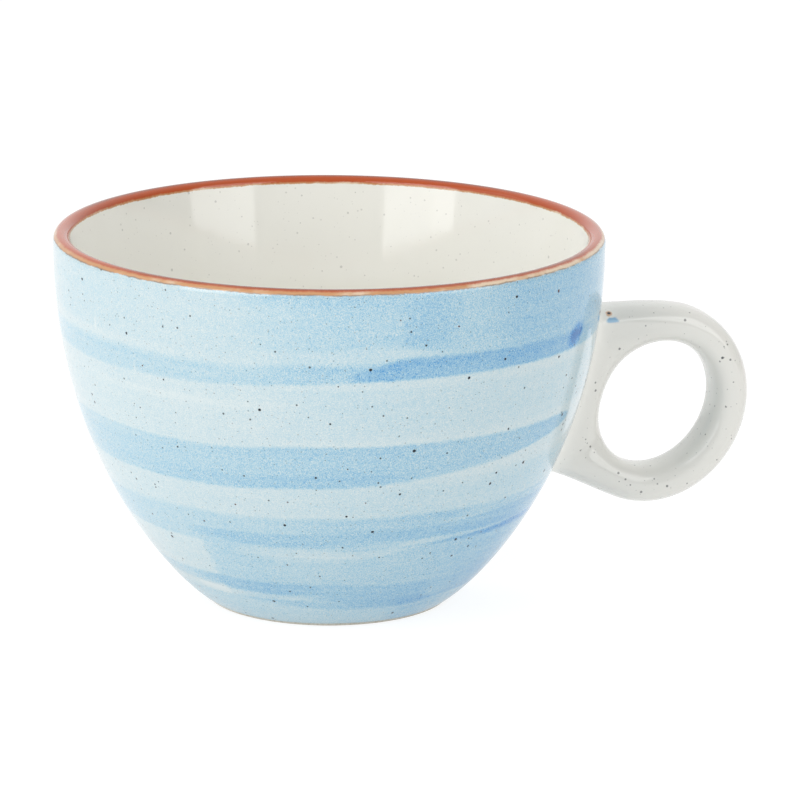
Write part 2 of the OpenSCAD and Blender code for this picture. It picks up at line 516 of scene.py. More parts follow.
# %% Adding nodes
def add(tree, kind, inputs=(), **settings):
    """Adds one node to a tree, sets its options and fills its sockets."""
    node = tree.nodes.new("ShaderNode" + kind)
    for option, value in settings.items():
        setattr(node, option, value)
    fill(tree, node, inputs if isinstance(inputs, dict) else dict(enumerate(inputs)))
    return node


def fill(tree, node, inputs):
    """Sets or links sockets of a node. Of another node, the first output is linked."""
    for socket, value in inputs.items():
        if isinstance(value, bpy.types.Node):
            value = value.outputs[0]
        if isinstance(value, bpy.types.NodeSocket):
            tree.links.new(value, node.inputs[socket])
        else:
            node.inputs[socket].default_value = value


def new_material(name):
    material = bpy.data.materials.new(name)
    material.use_nodes = True
    material.node_tree.nodes.clear()
    return material, material.node_tree


def new_group(name, inputs, outputs):
    """Empty node group with float sockets, or vector sockets where a name ends in point."""
    tree = bpy.data.node_groups.new(name, "ShaderNodeTree")
    for in_out, names in (("INPUT", inputs), ("OUTPUT", outputs)):
        for socket in names:
            kind = "NodeSocketVector" if socket.endswith("point") else "NodeSocketFloat"
            tree.interface.new_socket(socket, in_out=in_out, socket_type=kind)
    source = tree.nodes.new("NodeGroupInput")
    return tree, source.outputs, tree.nodes.new("NodeGroupOutput")


print("Node helpers ready")

# %% [markdown]
# Noise round zero. Nothing that a brush or a kiln leaves is even, so noise wears outlines
# and clouds colours. It swings to both sides of zero here, so that it moves nothing on
# average. The names of noises below hold scale, detail, amount and roughness in this
# order, with the scale in cells for each millimetre. A soft edge is a Map Range node with
# a smooth step, and it falls instead of rising where its first limit is the higher one.

# %% Group: noise round zero
noise_group, given, out = new_group(
    "noise round zero", ["point", "scale", "detail", "amount", "roughness"], ["value"]
)
names = {"point": "Vector", "scale": "Scale", "detail": "Detail", "roughness": "Roughness"}
texture = {socket: given[name] for name, socket in names.items()}
texture = add(noise_group, "TexNoise", texture)
middle = add(noise_group, "Math", [given["amount"], -0.5], operation="MULTIPLY")
value = [texture, given["amount"], middle]
value = add(noise_group, "Math", value, operation="MULTIPLY_ADD")
fill(noise_group, out, {"value": value})
print("Noise group:", len(noise_group.nodes), "nodes")

# %% [markdown]
# Place on the cup. Brushed bands follow the wheel, so the pattern needs the angle round
# the axis and the height. The angle is counted from the handle, where the painter lifts
# the brush, through the front, and the point in millimetres drives every noise.

# %% Group: place on the cup
place_group, _, out = new_group("place on the cup", [], ["turn", "height", "radius", "point"])
coordinates = add(place_group, "TexCoord").outputs["Object"]
millimetres = add(
    place_group, "VectorMath", {0: coordinates, "Scale": 1000}, operation="SCALE"
)
parts = add(place_group, "SeparateXYZ", {0: millimetres}).outputs
backwards = add(place_group, "Math", [parts["Y"], -1], operation="MULTIPLY")
turn = add(place_group, "Math", [backwards, parts["X"]], operation="ARCTAN2")
turn = add(place_group, "Math", [turn, 180 / math.pi], operation="MULTIPLY")
turn = add(place_group, "Math", [turn, 360], operation="FLOORED_MODULO")
squares = add(place_group, "Math", [parts["X"], parts["X"]], operation="MULTIPLY")
squares = add(place_group, "Math", [parts["Y"], parts["Y"], squares], operation="MULTIPLY_ADD")
radius = add(place_group, "Math", [squares], operation="SQRT")
place = {"turn": turn, "height": parts["Z"], "radius": radius, "point": millimetres}
fill(place_group, out, place)
print("Place group:", len(place_group.nodes), "nodes")

# %% [markdown]
# A brush stroke. One loaded brush on a turning wheel leaves a band with a soft lower and
# upper edge, and ends that break into bristle marks. The group fills the space between the
# two edges, which are where the colour is half its strength, and the strength says how
# much blue the brush still holds at that angle.

# %% Group: brush stroke
DRY_BRISTLES = (-0.08, 0.16)
STROKE_NAMES = ("soft lower", "soft upper", "blend", "ragged", "dry")
PLACE_NAMES = ("lower", "upper", "strength")
stroke_group, given, out = new_group(
    "brush stroke",
    ["turn", "level", "bristles", "start", "end", *STROKE_NAMES, *PLACE_NAMES],
    ["pigment"],
)
tree = stroke_group


def painted_side(name, direction):
    """1 on the painted side of an edge, which lies above it (1) or below it (-1)."""
    spread = add(tree, "Math", [given["soft " + name], direction / 2], operation="MULTIPLY")
    start = add(tree, "Math", [given[name], spread], operation="SUBTRACT")
    end = add(tree, "Math", [given[name], spread], operation="ADD")
    return add(tree, "MapRange", [given["level"], start, end], interpolation_type="SMOOTHSTEP")


above_lower = painted_side("lower", 1)
below_upper = painted_side("upper", -1)
jagged = add(
    tree, "Math", [given["bristles"], given["ragged"], given["turn"]], operation="MULTIPLY_ADD"
)
begun = add(tree, "Math", [given["start"], given["blend"]], operation="ADD")
begun = add(tree, "MapRange", [jagged, given["start"], begun], interpolation_type="SMOOTHSTEP")
lifted = add(tree, "Math", [given["end"], given["blend"]], operation="SUBTRACT")
lifted = add(tree, "MapRange", [jagged, given["end"], lifted], interpolation_type="SMOOTHSTEP")
bare = add(tree, "MapRange", [given["bristles"], *DRY_BRISTLES], interpolation_type="SMOOTHSTEP")
bare = add(tree, "Math", [bare, given["dry"]], operation="MULTIPLY")
loaded = add(tree, "Math", [1, bare], operation="SUBTRACT")
pigment = above_lower
for share in (below_upper, begun, lifted, loaded, given["strength"]):
    pigment = add(tree, "Math", [pigment, share], operation="MULTIPLY")
fill(tree, out, {"pigment": pigment})
print("Stroke group:", len(tree.nodes), "nodes")

# %% [markdown]
# Specks. Iron grains in the clay melt through the glaze as dark points. A Voronoi texture
# scatters one grain per cell through space, and the surface cuts only some of them, which
# gives the mix of sizes that a real batch shows.

# %% Group: specks
GRAIN_OUTLINE = (4, 1, 0.7, 0.5)
LEAST_GRAIN = 0.45
GRAIN_SPREAD = 0.7
GRAIN_CORE = 0.65
speck_group, given, out = new_group(
    "specks", ["point", "spacing", "size", "share"], ["speck", "tint"]
)
tree = speck_group
density = add(tree, "Math", [1, given["spacing"]], operation="DIVIDE")
cells = add(tree, "TexVoronoi", {"Vector": given["point"], "Scale": density})
distance = add(tree, "Math", [cells.outputs["Distance"], given["spacing"]], operation="MULTIPLY")
ragged = add(tree, "Group", [given["point"], *GRAIN_OUTLINE], node_tree=noise_group)
ragged = add(tree, "Math", [ragged, 1], operation="ADD")
distance = add(tree, "Math", [distance, ragged], operation="MULTIPLY")
chance = add(tree, "SeparateColor", {0: cells.outputs["Color"]}).outputs
chosen = add(tree, "Math", [chance["Red"], given["share"]], operation="LESS_THAN")
radius = add(tree, "Math", [chance["Green"], GRAIN_SPREAD, LEAST_GRAIN], operation="MULTIPLY_ADD")
radius = add(tree, "Math", [radius, given["size"]], operation="MULTIPLY")
core = add(tree, "Math", [radius, GRAIN_CORE], operation="MULTIPLY")
speck = add(tree, "MapRange", [distance, radius, core], interpolation_type="SMOOTHSTEP")
speck = add(tree, "Math", [speck, chosen], operation="MULTIPLY")
fill(tree, out, {"speck": speck, "tint": chance["Blue"]})


def specks_of(tree, point, spacing, size, share):
    """Outputs of one layer of specks, with spacing and size in millimetres."""
    layer = {"point": point, "spacing": spacing, "size": size, "share": share}
    return add(tree, "Group", layer, node_tree=speck_group).outputs


print("Speck group:", len(speck_group.nodes), "nodes")

# %% [markdown]
# The rim mask. The red-brown band is laid by hand over a spinning lip, so its edge is
# ragged by a tenth of a millimetre. Everything is measured as an angle over the rounded
# lip, from the outside over the top, and two noises wear that angle. All coats at the lip
# share this mask, so the colour crosses from piece to piece without a seam.

# %% Group: rim mask
WAVER = (0.3, 3, 14, 0.6)
FRAY = (1.8, 2, 12, 0.6)
rim_group, _, out = new_group("rim mask", [], ["band", "thin", "patch", "line", "fringe", "crest"])
tree = rim_group
place = add(tree, "Group", node_tree=place_group).outputs
rise = add(tree, "Math", [place["height"], lip_level / MM], operation="SUBTRACT")
lip_middle = (rim_radius - lip_radius) / MM
outward = add(tree, "Math", [place["radius"], lip_middle], operation="SUBTRACT")
over_lip = add(tree, "Math", [rise, outward], operation="ARCTAN2")
over_lip = add(tree, "Math", [over_lip, 180 / math.pi], operation="MULTIPLY")
over_lip = add(tree, "Math", [over_lip, 90], operation="ADD")
over_lip = add(tree, "Math", [over_lip, 360], operation="FLOORED_MODULO")
over_lip = add(tree, "Math", [over_lip, 90], operation="SUBTRACT")
waver = add(tree, "Group", [place["point"], *WAVER], node_tree=noise_group)
fray = add(tree, "Group", [place["point"], *FRAY], node_tree=noise_group)
edge = add(tree, "Math", [over_lip, waver], operation="ADD")
edge = add(tree, "Math", [edge, fray], operation="ADD")
print("Rim group, angle over the lip:", len(tree.nodes), "nodes")

# %% [markdown]
# The parts of the mask. Iron glaze drains off the outer curve and breaks to tan there, and
# more to cream towards the handle, where the cream is partly a painted highlight. A thin
# dark line stays where it meets the blue, with a few white tufts beside it, and along the
# crest, front and back, the red is painted browner, as painted shade.

# %% Parts of the rim mask
# angles over the lip, in degrees
BAND_START = 29
BAND_FROM = (26.5, 31.5)
BAND_TO = (174, 168)
FULL_FROM = (45, 67)
FULL_TO = (152, 168)
CREST_FROM = (60, 76)
CREST_TO = (122, 100)
# angles past the start of the band
LINE_FROM = (-7, -1)
LINE_TO = (8, 2)
FRINGE_FROM = (-16, -7)
FRINGE_TO = (8, 0)
# noises and their edges
PATCHES = (0.13, 3, 1, 0.5)
GAPS = (0.25, 3, 1, 0.5)
TUFTS = (1.1, 2, 1, 0.5)
PATCH_EDGE = (-0.08, 0.12)
GAP_EDGE = (-0.13, 0.03)
TUFT_EDGE = (0, 0.12)
# where and how much
CREST_BESIDE = (18, 34)
CREST_SHARE = 0.7
CREAM_TURN = (86, 66)
CREAM_GAIN = 0.16
CREAM_BASE = -0.06
past_start = add(tree, "Math", [edge, BAND_START], operation="SUBTRACT")
outer_thin = add(tree, "MapRange", [edge, *FULL_FROM[::-1]], interpolation_type="SMOOTHSTEP")
inner_thin = add(tree, "MapRange", [edge, *FULL_TO], interpolation_type="SMOOTHSTEP")
thin = add(tree, "Math", [outer_thin, inner_thin], operation="ADD")
beside = add(tree, "SeparateXYZ", [place["point"]]).outputs["Y"]
beside = add(tree, "Math", [beside], operation="ABSOLUTE")
beside = add(tree, "MapRange", [beside, *CREST_BESIDE], interpolation_type="SMOOTHSTEP")
beside = add(tree, "Math", [beside, CREST_SHARE], operation="MULTIPLY")
# partly painted highlight: more cream on the lip towards the handle, over the glaze's own break
cream_and_highlight = add(tree, "MapRange", [place["turn"], *CREAM_TURN], interpolation_type="SMOOTHSTEP")
cream_and_highlight = add(tree, "Math", [cream_and_highlight, CREAM_GAIN, CREAM_BASE], operation="MULTIPLY_ADD")
patch = add(tree, "Group", [place["point"], *PATCHES], node_tree=noise_group)
patch = add(tree, "Math", [patch, cream_and_highlight], operation="ADD")
patch = add(tree, "MapRange", [patch, *PATCH_EDGE], interpolation_type="SMOOTHSTEP")
gaps = add(tree, "Group", [place["point"], *GAPS], node_tree=noise_group)
gaps = add(tree, "MapRange", [gaps, *GAP_EDGE], interpolation_type="SMOOTHSTEP")
tufts = add(tree, "Group", [place["point"], *TUFTS], node_tree=noise_group)
tufts = add(tree, "MapRange", [tufts, *TUFT_EDGE], interpolation_type="SMOOTHSTEP")
parts = {
    # what it follows, soft limits where it opens and closes, and what breaks it up
    "band": (edge, BAND_FROM, BAND_TO, 1),
    "line": (past_start, LINE_FROM, LINE_TO, gaps),
    "fringe": (past_start, FRINGE_FROM, FRINGE_TO, tufts),
    "crest": (edge, CREST_FROM, CREST_TO, beside),
}
masks = {"thin": thin, "patch": patch}
for name, (angle, opens, closes, share) in parts.items():
    opened = add(tree, "MapRange", [angle, *opens], interpolation_type="SMOOTHSTEP")
    closed = add(tree, "MapRange", [angle, *closes], interpolation_type="SMOOTHSTEP")
    mask = add(tree, "Math", [opened, closed], operation="MULTIPLY")
    masks[name] = add(tree, "Math", [mask, share], operation="MULTIPLY")
fill(tree, out, masks)
print("Rim group:", len(tree.nodes), "nodes")

# %% [markdown]
# Mixing colours and closing a glaze. Every glaze here ends in the same way: the rim's
# colours over its own, a clear gloss that mirrors the lamps with crisp edges, and a faint
# ripple, because melted glass settles in soft waves a few millimetres long.

# %% Helpers for glazes
FRINGE_SHARE = 0.6
LINE_SHARE = 0.75
RIPPLES = (0.22, 2, 1, 0.5)
FINE_RIPPLES = (1.6, 2, 1, 0.5)
FINE_SHARE = 0.06
RIPPLE_HEIGHT = 0.02 * MM
GLAZE_ROUGHNESS = 0.075
GLASS_IOR = 1.5


def with_rim(tree, colour):
    """Lays the colours of the rim over the colour of a glaze."""
    rim = add(tree, "Group", node_tree=rim_group).outputs
    broken = add(
        tree, "Mix", {0: rim["patch"], 6: PAINTS["tan break"], 7: PAINTS["cream break and highlight"]},
        data_type="RGBA",
    ).outputs[2]
    fringe = add(tree, "Math", [rim["fringe"], FRINGE_SHARE], operation="MULTIPLY")
    colour = add(
        tree, "Mix", {0: fringe, 6: colour, 7: PAINTS["white streak"]}, data_type="RGBA"
    ).outputs[2]
    # painted shade: the crest is made browner where it faces front and back
    full = add(
        tree, "Mix", {0: rim["crest"], 6: PAINTS["terracotta"], 7: PAINTS["painted crest shade"]},
        data_type="RGBA",
    ).outputs[2]
    lip = add(tree, "Mix", {0: rim["thin"], 6: full, 7: broken}, data_type="RGBA").outputs[2]
    colour = add(tree, "Mix", {0: rim["band"], 6: colour, 7: lip}, data_type="RGBA").outputs[2]
    line = add(tree, "Math", [rim["line"], LINE_SHARE], operation="MULTIPLY")
    return add(
        tree, "Mix", {0: line, 6: colour, 7: PAINTS["edge line"]}, data_type="RGBA"
    ).outputs[2]


def glaze_shader(tree, colour, point):
    """Gloss glaze over a colour, with ripples a few millimetres long."""
    ripples = add(tree, "Group", [point, *RIPPLES], node_tree=noise_group)
    fine = add(tree, "Group", [point, *FINE_RIPPLES], node_tree=noise_group)
    height = add(tree, "Math", [fine, FINE_SHARE, ripples], operation="MULTIPLY_ADD")
    bump = add(tree, "Bump", {"Distance": RIPPLE_HEIGHT, "Height": height})
    shader = add(tree, "BsdfPrincipled", {
        "Base Color": colour, "Roughness": GLAZE_ROUGHNESS, "IOR": GLASS_IOR, "Normal": bump,
    })
    add(tree, "OutputMaterial", {"Surface": shader})


print("Glaze helpers ready")

# %% [markdown]
# The strokes, as a painter would call them out. Each has how soft its lower and upper edge
# are in millimetres, how its ends fade and how far their bristle marks reach in degrees,
# how dry the brush is, and then a few places round the cup: the angle from the handle, the
# lower and upper edge in millimetres, and how much blue is there. White lines take blue
# away.

# %% The strokes
STROKES = [
    # name, soft lower, soft upper, blend, ragged, dry, places as (angle, lower, upper, strength)
    ("upper wash", 2.2, 0.5, 3, 10, 0.1,
     [(4, 57, 74, 0.12), (81, 57, 74, 0.14), (97, 56.5, 74, 0.19), (120, 57.5, 74, 0.08),
      (134, 58.8, 74, 0.04), (150, 59.6, 74, 0.1), (240, 59.4, 74, 0.08), (356, 58, 74, 0.13)]),
    ("upper wash, right", 1.4, 0.5, 10, 8, 0.15,
     [(4, 58.2, 74, 0.5), (51, 58.4, 74, 0.5), (63, 58.4, 74, 0.4), (72, 58.8, 74, 0.28),
      (81, 60, 74, 0.42), (88, 60.8, 74, 0.2), (106, 60.4, 74, 0.12), (124, 61, 74, 0)]),
    ("line under the rim", 0.8, 0.6, 6, 20, 0.3,
     [(86, 68.6, 70.6, 0.12), (104, 68.6, 70.6, 0.16), (124, 68.8, 70.6, 0.1)]),
    ("first band", 0.9, 1.6, 3, 12, 0.15,
     [(8, 54.5, 58.2, 0.25), (60, 54.5, 58.4, 0.25), (81, 54.4, 59, 0.25), (93, 54.3, 57.6, 0.4),
      (106, 53.9, 57.5, 0.42), (122, 53.3, 57, 0.28), (146, 52.9, 57.4, 0.29),
      (214, 53.2, 57.6, 0.25)]),
    ("first band, second coat", 0.7, 1.1, 3, 5, 0.1,
     [(6, 54.6, 58, 0.3), (33, 54.6, 58, 0.34), (44, 54.6, 58.2, 0.57), (57, 54.6, 58.2, 0.6),
      (70, 54.6, 58.4, 0.45), (84, 54.5, 58.6, 0.48), (92, 54.4, 56.8, 0.45),
      (98, 54.3, 55.4, 0.25)]),
    ("second band", 0.9, 0.8, 2, 2, 0.15,
     [(33, 40, 41, 0.55), (37, 38.8, 41.5, 0.66), (51, 36.9, 41.6, 0.56), (75, 34.6, 41.7, 0.46),
      (93, 33.5, 41.7, 0.5), (108, 33, 41.6, 0.46), (128, 32.4, 40.8, 0.35),
      (166, 32.7, 41, 0.3), (200, 33.2, 40.8, 0.3), (250, 34.4, 41.4, 0.38), (352, 36.4, 42, 0.5)]),
    ("foot of the second band", 0.5, 1.4, 10, 16, 0.2,
     [(78, 33.8, 36, 0.08), (106, 32.9, 35.8, 0.14), (128, 32.4, 35.6, 0.1),
      (168, 32.7, 35.4, 0.05)]),
    ("third band", 1.0, 1.4, 3, 10, 0.15,
     [(6, 19.8, 27, 0.5), (46, 19.4, 26.8, 0.48), (63, 19.4, 26.8, 0.38), (97, 19.5, 26.4, 0.34),
      (113, 19.6, 26.4, 0.29), (128, 19.5, 26.4, 0.26), (170, 19.4, 26.2, 0.3),
      (214, 20.2, 25.6, 0.3), (300, 20.6, 26.4, 0.36), (352, 22.8, 27, 0.45)]),
    ("dark line of the third band", 0.7, 0.8, 4, 12, 0.25,
     [(14, 22, 25, 0.25), (57, 21, 24.4, 0.33), (75, 21, 23.6, 0.26), (93, 20.3, 23, 0.16),
      (106, 19.7, 22.8, 0.25), (124, 20.2, 22.8, 0.28), (142, 20.8, 22.4, 0.2)]),
    # painted shade: this stroke darkens the wall towards the handle
    ("painted shade over the third band", 2, 3, 8, 10, 0.1,
     [(14, 24, 34, 0.2), (41, 27, 33.8, 0.22), (57, 27, 33.6, 0.18), (70, 24, 33, 0.16),
      (95, 22, 33, 0.1), (112, 24, 33, 0.05), (126, 26, 33, 0)]),
    # the lower wash is real, but its strength at small angles, towards the handle, is painted shade
    ("lower wash", 1.2, 0.8, 3, 7, 0.15,
     [(8, 5.4, 21, 0.6), (41, 5.7, 21, 0.74), (51, 5.8, 20.6, 0.66), (63, 5.3, 20.2, 0.52),
      (78, 4.8, 19.7, 0.4), (92, 4.8, 19.5, 0.37), (106, 5.2, 19.4, 0.3), (122, 6, 19.5, 0.32),
      (139, 7, 19.6, 0.26)]),
    ("low dark line", 1.0, 1.0, 6, 14, 0.2,
     [(62, 6.4, 10.4, 0.15), (72, 6.2, 10.5, 0.24), (84, 6, 10.6, 0.2), (99, 7, 11.2, 0.25),
      (120, 8.2, 11.2, 0.34), (133, 8.5, 11.4, 0.26), (140, 8.9, 11.4, 0.45),
      (154, 8.7, 11.4, 0.3), (176, 8.6, 11.6, 0.38)]),
    # the foot wash is real, but its strength near angles 46 to 69 is a painted shadow by the foot
    ("foot wash and painted shadow", 0.3, 2.4, 3, 10, 0.2,
     [(4, 0, 5.8, 0.58), (46, 0, 5.8, 0.5), (58, 0, 5.8, 0.58), (69, 0, 6.4, 0.56),
      (80, 0, 6.5, 0.31), (95, 0, 6.4, 0.28), (125, 0, 7, 0.24), (142, 0, 7, 0.28),
      (156, 0, 7, 0.26), (260, 0, 7, 0.3), (356, 0, 7.4, 0.3)]),
    ("belly wash, right", 2, 2, 10, 12, 0.1,
     [(14, 43, 53, 0.13), (60, 43, 53, 0.1), (96, 43, 53, 0.12), (118, 43, 53, 0.06)]),
    ("first band, back", 0.8, 1.4, 4, 10, 0.15,
     [(206, 53.4, 57.4, 0.45), (240, 53, 57.8, 0.6), (300, 53.4, 58.4, 0.58),
      (354, 54.4, 58.6, 0.6)]),
    ("upper wash, back", 1.4, 0.5, 8, 12, 0.15,
     [(250, 61.4, 74, 0.1), (290, 59.8, 74, 0.3), (356, 58, 74, 0.4)]),
    ("dark line of the third band, back", 0.8, 1.0, 5, 14, 0.25,
     [(210, 20.4, 23.2, 0.25), (250, 20, 23.2, 0.35), (310, 21.2, 24, 0.3), (353, 22.4, 25, 0.3)]),
    ("lower wash, back", 1.4, 0.9, 5, 9, 0.15,
     [(222, 6.8, 18.8, 0.18), (270, 7, 19.2, 0.32), (320, 6, 20.4, 0.36), (355, 5, 21.2, 0.5)]),
    ("low dark line, back", 1.2, 1.2, 6, 16, 0.2,
     [(232, 8.6, 11, 0.3), (270, 8.2, 10.8, 0.28), (318, 9, 11.2, 0.24)]),
    ("white line on the belly", 0.6, 0.7, 8, 20, 0.4,
     [(100, 48.9, 50.4, -0.09), (130, 48.8, 50.3, -0.1), (164, 48.6, 50.1, -0.08)]),
    ("long white line", 0.6, 0.6, 5, 12, 0.3,
     [(67, 20.1, 21.5, -0.1), (80, 18.7, 20.3, -0.19), (93, 17.5, 19.1, -0.22),
      (106, 17.7, 19.3, -0.2), (129, 17.9, 19.4, -0.17)]),
    ("short white line", 0.5, 0.6, 6, 14, 0.4,
     [(94, 16.7, 18, -0.1), (108, 16.6, 18, -0.13), (124, 16.8, 18, -0.1)]),
    ("low white line", 0.5, 0.5, 4, 10, 0.3,
     [(102, 7.4, 8.7, -0.1), (113, 7.2, 8.6, -0.26), (122, 6.9, 8.2, -0.14),
      (139, 6.8, 8.3, -0.26), (153, 7.2, 8.5, -0.16)]),
]
print(f"{len(STROKES)} strokes, {sum(len(stroke[-1]) for stroke in STROKES)} places")

# %% [markdown]
# Marks that are not bands: the blot where the painter set down a full brush near the
# handle, and a few drips of thick white glaze. Each is a leaning oval, so many degrees to
# the side for each millimetre of height.

# %% Group: dab
DAB_OUTLINE = (0.8, 2, 0.3, 0.5)
DAB_EDGE = (1.2, 0.3)
DAB_NAMES = ("at turn", "at height", "half width", "half height", "lean", "strength")
dab_group, given, out = new_group("dab", ["turn", "height", "point", *DAB_NAMES], ["pigment"])
tree = dab_group
above = add(tree, "Math", [given["height"], given["at height"]], operation="SUBTRACT")
aside = add(tree, "Math", [given["turn"], given["at turn"]], operation="SUBTRACT")
aside = add(tree, "Math", [above, given["lean"], aside], operation="MULTIPLY_ADD")
aside = add(tree, "Math", [aside, given["half width"]], operation="DIVIDE")
above = add(tree, "Math", [above, given["half height"]], operation="DIVIDE")
squares = add(tree, "Math", [aside, aside], operation="MULTIPLY")
squares = add(tree, "Math", [above, above, squares], operation="MULTIPLY_ADD")
wobble = add(tree, "Group", [given["point"], *DAB_OUTLINE], node_tree=noise_group)
reach = add(tree, "Math", [squares], operation="SQRT")
reach = add(tree, "Math", [reach, wobble], operation="ADD")
spot = add(tree, "MapRange", [reach, *DAB_EDGE], interpolation_type="SMOOTHSTEP")
spot = add(tree, "Math", [spot, given["strength"]], operation="MULTIPLY")
fill(tree, out, {"pigment": spot})

DABS = [
    # angle, height, half width in degrees, half height in mm, lean, strength
    (38.6, 57.1, 3.7, 2.6, 0.45, 0.92),
    (36.4, 57.4, 0.6, 1.1, 0.5, 0.45),
    (157, 60.0, 0.35, 1.7, 0, -0.2),
    (145, 53.8, 0.35, 1.5, 0, -0.25),
    (205, 55.4, 2.6, 1.8, 0.5, 0.35),
    (352, 40.0, 3.0, 2.2, 0, 0.35),
]
print(f"{len(DABS)} dabs")

# %% [markdown]
# Blue brushed glaze: pale blue brushed over white stoneware and fired under a clear gloss
# glaze. A painted picture could be wrapped round it, but brush, wheel and kiln follow rules
# that a network can follow too, at any size. It first adds up an amount of blue, and only
# then turns that amount into a colour. The wash is never even, so the ground has streaks
# along the turn and soft clouds.

# %% Blue brushed glaze: ground
PALE_WASH = 0.16
# noises drawn out along the turn: scale sideways, scale upwards, detail, amount, roughness
STRAY = (0.05, 0.1, 2, 0.6, 0.5)
BRISTLES = (0.03, 1.1, 3, 1, 0.6)
STREAKS = (0.025, 0.55, 4, 0.22, 0.65)
# even noises
SHIVER = (0.9, 3, 0.5, 0.5)
CLOUDS = (0.05, 3, 0.14, 0.5)
blue_glaze, tree = new_material("blue brushed glaze")
place = add(tree, "Group", node_tree=place_group).outputs


def drawn_noise(tree, sideways, upwards, *settings):
    """Noise drawn out along the turn, with a scale for each way."""
    scale = (sideways, sideways, upwards)
    drawn = add(tree, "Mapping", {0: place["point"], "Scale": scale})
    return add(tree, "Group", [drawn, 1, *settings], node_tree=noise_group)


stray = drawn_noise(tree, *STRAY)
shiver = add(tree, "Group", [place["point"], *SHIVER], node_tree=noise_group)
level = add(tree, "Math", [place["height"], stray], operation="ADD")
level = add(tree, "Math", [level, shiver], operation="ADD")
bristles = drawn_noise(tree, *BRISTLES)
streaks = drawn_noise(tree, *STREAKS)
clouds = add(tree, "Group", [place["point"], *CLOUDS], node_tree=noise_group)
total = add(tree, "Math", [streaks, PALE_WASH], operation="ADD")
total = add(tree, "Math", [total, clouds], operation="ADD")
print(f"Blue glaze, ground: {len(tree.nodes)} nodes")

# %% [markdown]
# The strokes and dabs go over the ground, one group each. A stroke climbs, widens and runs
# dry as the brush goes round, so a smooth curve through its few places gives each edge and
# the strength at every angle.

# %% Blue brushed glaze: strokes and dabs
# least and most of lower edge, upper edge and strength
RANGES = ((0, 80), (0, 80), (-0.5, 1))
share_of_turn = add(tree, "Math", [place["turn"], 360], operation="DIVIDE")


def over_turn(tree, angles, values, low, high):
    """Value over the turn, as a smooth curve through a value at each of a few angles."""
    node = add(tree, "FloatCurve", {"Value": share_of_turn})
    curve = node.mapping.curves[0]
    spots = [(a / 360, (value - low) / (high - low)) for a, value in zip(angles, values)]
    curve.points[0].location = spots[0]
    curve.points[1].location = spots[-1]
    for spot in spots[1:-1]:
        curve.points.new(*spot)
    for point in curve.points:
        point.handle_type = "AUTO_CLAMPED"
    node.mapping.update()
    return add(tree, "Math", [node, high - low, low], operation="MULTIPLY_ADD")


for name, *settings, places in STROKES:
    angles, *rows = zip(*places)
    stroke = {"turn": place["turn"], "level": level, "bristles": bristles}
    stroke.update({"start": angles[0], "end": angles[-1]})
    stroke.update(zip(STROKE_NAMES, settings))
    for place_name, row, limits in zip(PLACE_NAMES, rows, RANGES):
        stroke[place_name] = over_turn(tree, angles, row, *limits)
    stroke = add(tree, "Group", stroke, node_tree=stroke_group, label=name)
    total = add(tree, "Math", [total, stroke], operation="ADD")
for settings in DABS:
    dab = {name: place[name] for name in ("turn", "height", "point")}
    dab.update(zip(DAB_NAMES, settings))
    dab = add(tree, "Group", dab, node_tree=dab_group)
    total = add(tree, "Math", [total, dab], operation="ADD")
print(f"Blue glaze, painted: {len(tree.nodes)} nodes")

# %% [markdown]
# Blue glaze curdles as it melts, and the more blue there is the more it is mottled, up to
# a limit, since the fullest blue melts smooth. One ramp turns the amount of blue into a
# colour, from white streaks to the heart of the blot, and iron specks come last.

# %% Blue brushed glaze: colours and specks
CURDLE_FINE = (5, 2, 1.8, 0.7)
CURDLE_WIDE = (1.1, 1, 0.22, 0.5)
MOTTLE_BASE = 0.6
MOTTLE_GAIN = 1.6
MOTTLE_MOST = 1.6
FULL_BLUE = 1.8
BLUES = [
    (0.0, "white streak"), (0.18, "pale wash"), (0.42, "light band"), (0.66, "mid band"),
    (0.9, "deep band"), (1.0, "pooled blue"), (1.2, "second pool"), (1.5, "blot"),
    (FULL_BLUE, "blot heart"),
]
# spacing and size in mm, share of places with a grain, depth
BLUE_SPECKS = ((3.2, 0.36, 0.5, 1.0), (2.0, 0.24, 0.5, 0.8), (0.8, 0.14, 0.85, 0.5))
RUSTY_FROM = (0.85, 0.95)
mottle = add(tree, "Group", [place["point"], *CURDLE_FINE], node_tree=noise_group)
wide = add(tree, "Group", [place["point"], *CURDLE_WIDE], node_tree=noise_group)
mottle = add(tree, "Math", [mottle, wide], operation="ADD")
curdle = add(tree, "Math", [total, MOTTLE_GAIN, MOTTLE_BASE], operation="MULTIPLY_ADD")
curdle = add(tree, "Math", [curdle, MOTTLE_MOST], operation="MINIMUM")
total = add(tree, "Math", [mottle, curdle, total], operation="MULTIPLY_ADD")
total = add(tree, "Math", [total, FULL_BLUE], operation="DIVIDE")
ramp = add(tree, "ValToRGB", [total])
stops = ramp.color_ramp.elements
stops[0].color = PAINTS[BLUES[0][1]]
stops[1].color = PAINTS[BLUES[-1][1]]
for amount, name in BLUES[1:-1]:
    stops.new(amount / FULL_BLUE).color = PAINTS[name]
colour = ramp
for *layer, depth in BLUE_SPECKS:
    specks = specks_of(tree, place["point"], *layer)
    rusty = add(tree, "MapRange", [specks["tint"], *RUSTY_FROM], interpolation_type="SMOOTHSTEP")
    grain = add(
        tree, "Mix", {0: rusty, 6: PAINTS["iron speck"], 7: PAINTS["rust speck"]},
        data_type="RGBA",
    ).outputs[2]
    shown = add(tree, "Math", [specks["speck"], depth], operation="MULTIPLY")
    colour = add(tree, "Mix", {0: shown, 6: colour, 7: grain}, data_type="RGBA").outputs[2]
glaze_shader(tree, with_rim(tree, colour), place["point"])
print(f"Blue glaze: {len(tree.nodes)} nodes")

